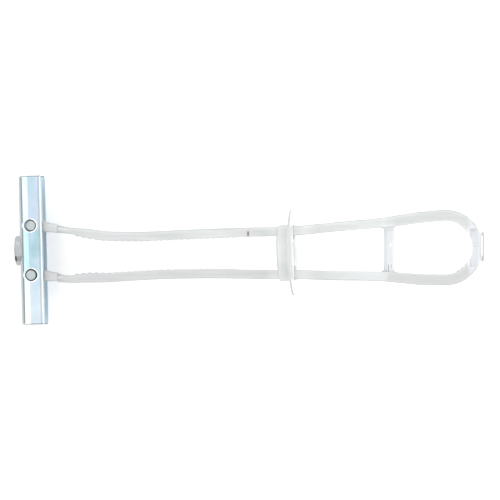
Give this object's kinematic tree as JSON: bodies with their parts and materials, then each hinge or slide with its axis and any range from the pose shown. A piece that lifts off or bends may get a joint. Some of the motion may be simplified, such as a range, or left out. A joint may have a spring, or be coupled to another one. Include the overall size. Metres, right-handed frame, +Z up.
{
  "type": "strap toggle anchor",
  "caption": "Strap toggle anchor: a tapped steel channel on two flexible plastic ratchet straps, with a sliding flanged cap and a finger loop at the far end.",
  "frame": {"origin": "centre of the tapped hole where it opens on the inner face of the channel's web", "axes": "+X runs along the straps from the channel to the finger loop, level with the table; +Y runs along the channel; +Z is up from the table. The anchor lies on its lower bend and the rim of its flange, so the straps rise at 5.6 degrees towards the loop"},
  "size_m": [0.1358, 0.0431, 0.0246],
  "materials": {
    "zinc_plate": "bright zinc plate, slightly blue",
    "strap_nylon": "natural translucent plastic, as moulded",
    "cap_nylon": "natural translucent plastic, as moulded"
  },
  "bodies": {
    "straps": {"straps": "strap_nylon"},
    "channel": {"channel": "zinc_plate"},
    "cap": {"cap": "cap_nylon"}
  },
  "joints": [
    {"name": "channel_tilt", "type": "hinge", "parent": "straps", "child": "channel", "pos_m": [0.00184, 0.00005, 0.00018], "axis": [-0.0975, 0, 0.9952], "range_deg": [-91.5, 88.5], "deforming": ["straps"]},
    {"name": "cap_slide", "type": "slide", "parent": "straps", "child": "cap", "axis": [0.9947, 0.0314, 0.0975], "range_m": [-0.049, 0], "deforming": ["straps"]}
  ]
}
